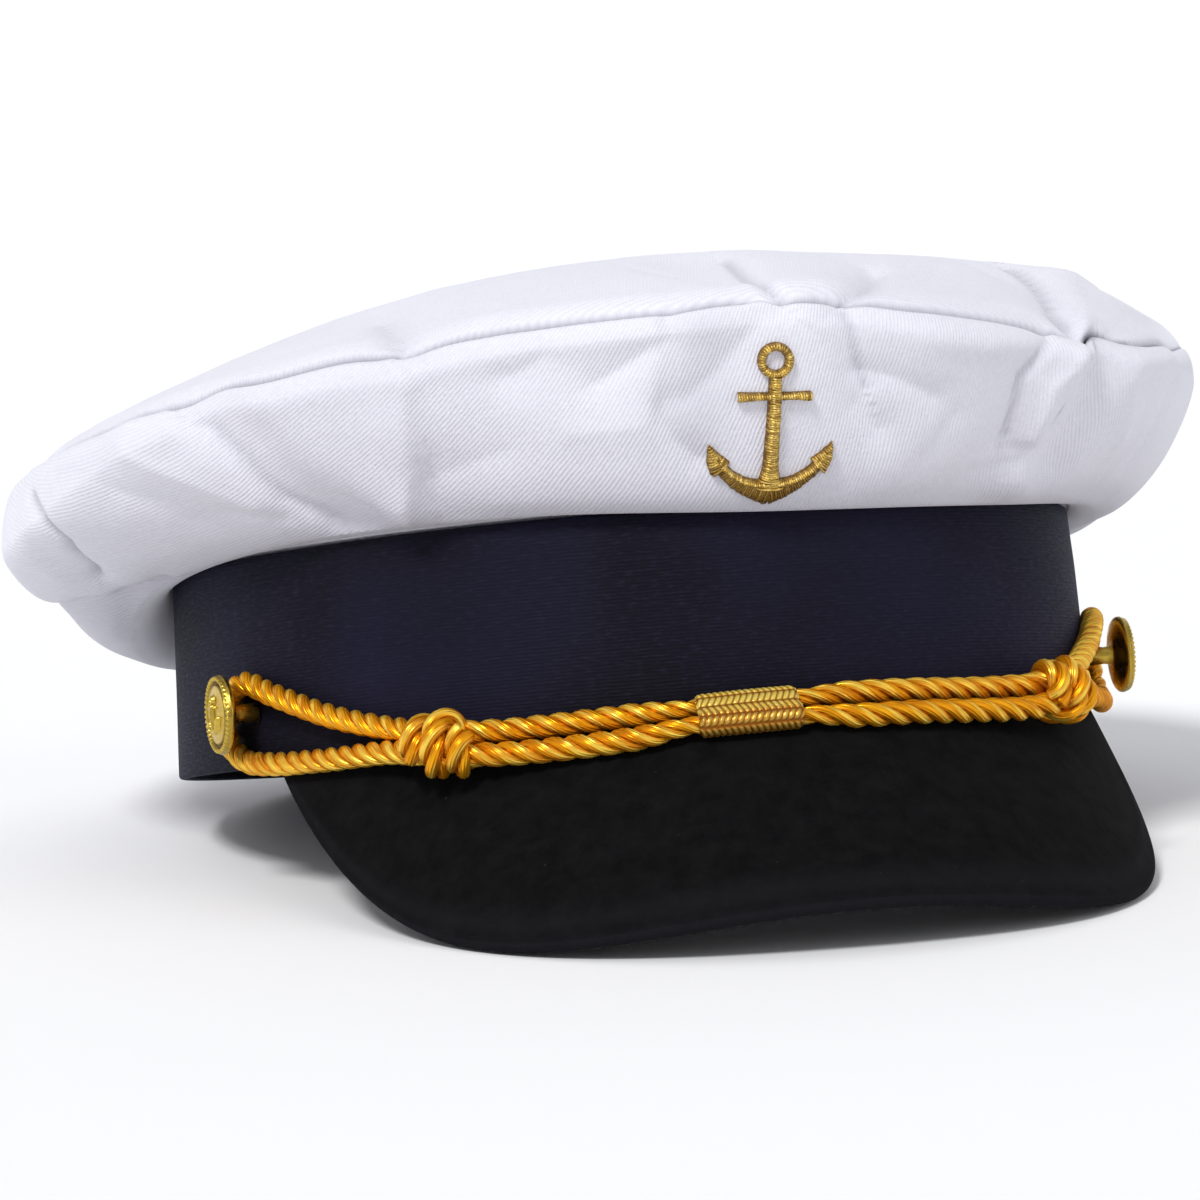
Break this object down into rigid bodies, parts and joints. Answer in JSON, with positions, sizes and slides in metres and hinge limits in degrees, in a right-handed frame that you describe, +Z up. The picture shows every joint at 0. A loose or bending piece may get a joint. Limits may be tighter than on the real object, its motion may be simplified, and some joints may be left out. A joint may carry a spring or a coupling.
{
  "type": "naval officer's cap",
  "caption": "Naval officer's cap with a soft white crown, navy band, black peak, gold chin cord and gold anchor.",
  "frame": {"origin": "middle of the cap's overall footprint, on the surface that it rests on", "axes": "+Z up, -Y to the front where the peak is, +X to the wearer's left"},
  "size_m": [0.2296, 0.2784, 0.1131],
  "materials": {
    "white_twill": "fine cotton twill",
    "navy_band": "smooth fine-ribbed band",
    "black_felt": "matte pressed felt",
    "gold_cord": "shiny twisted cord",
    "gold_braid": "shiny metallic braid",
    "gold_button": "polished",
    "gold_thread": "metallic embroidery"
  },
  "bodies": {
    "root": {"crown_top": "white_twill", "crown_side": "white_twill", "band": "navy_band", "peak": "black_felt", "chin_cord": "gold_cord", "cord_slide": "gold_braid", "button_left": "gold_button", "button_right": "gold_button", "anchor_badge": "gold_thread"}
  },
  "joints": []
}
